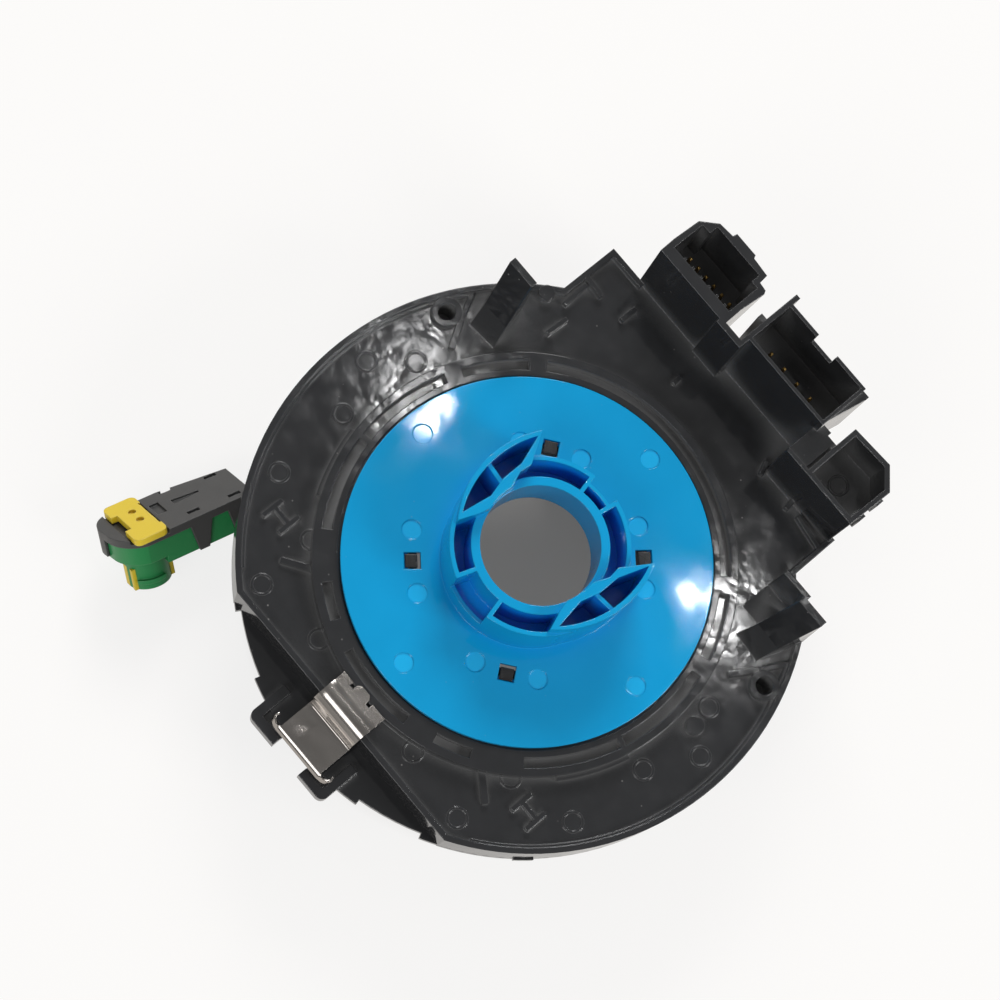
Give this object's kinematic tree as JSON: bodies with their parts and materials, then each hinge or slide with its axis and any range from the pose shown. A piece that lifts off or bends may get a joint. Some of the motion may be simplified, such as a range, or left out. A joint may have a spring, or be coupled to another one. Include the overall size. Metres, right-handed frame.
{
  "type": "steering clock spring",
  "caption": "Spiral-cable rotary connector for a steering column: cancel sleeve turns in a slotted case with plug sockets and an airbag lead.",
  "frame": {"origin": "on the steering axis, half way along the steering-shaft bore of the cancel sleeve", "axes": "+Z along the steering axis towards the steering column, +Y towards the stator's plug sockets, +X to the right seen from the column with the sockets up"},
  "size_m": [0.1106, 0.1216, 0.0487],
  "materials": {
    "black_plastic": "satin moulded glass-filled plastic",
    "blue_plastic": "smooth moulded acetal",
    "grey_plastic": "moulded",
    "green_plastic": "moulded",
    "yellow_plastic": "moulded",
    "clip_steel": "bright rolled spring steel",
    "gold_contact": "gold-plated contact",
    "cable_film": "laminated polyester film over copper strips",
    "slip_film": "thin low-friction film",
    "lead_sheath": "soft sheath",
    "ferrite": "sintered ferrite"
  },
  "bodies": {
    "stator": {"stator_case": "black_plastic", "stator_cover": "black_plastic", "stator_lead_block": "grey_plastic", "pins_1": "gold_contact", "pins_2": "gold_contact", "spring_clip": "clip_steel", "flat_cable": "cable_film"},
    "rotor": {"cancel_sleeve": "blue_plastic", "rotor": "black_plastic", "slip_sheet": "slip_film", "rotor_pins": "gold_contact", "rotor_lead_block": "grey_plastic", "airbag_lead": "lead_sheath", "lead_gland": "black_plastic", "plug_cover": "black_plastic", "plug_body": "green_plastic", "plug_insert": "yellow_plastic", "plug_terminals": "gold_contact", "plug_ferrite": "ferrite"},
    "lock": {"plug_lock": "yellow_plastic"}
  },
  "joints": [
    {"name": "rotor_spin", "type": "hinge", "parent": "stator", "child": "rotor", "pos_m": [0, 0, 0], "axis": [0, 0, 1], "range_deg": [-900, 900]},
    {"name": "lock_slide", "type": "slide", "parent": "rotor", "child": "lock", "axis": [-0.6611, 0.2755, 0.6979], "range_m": [0, 0.002]}
  ]
}
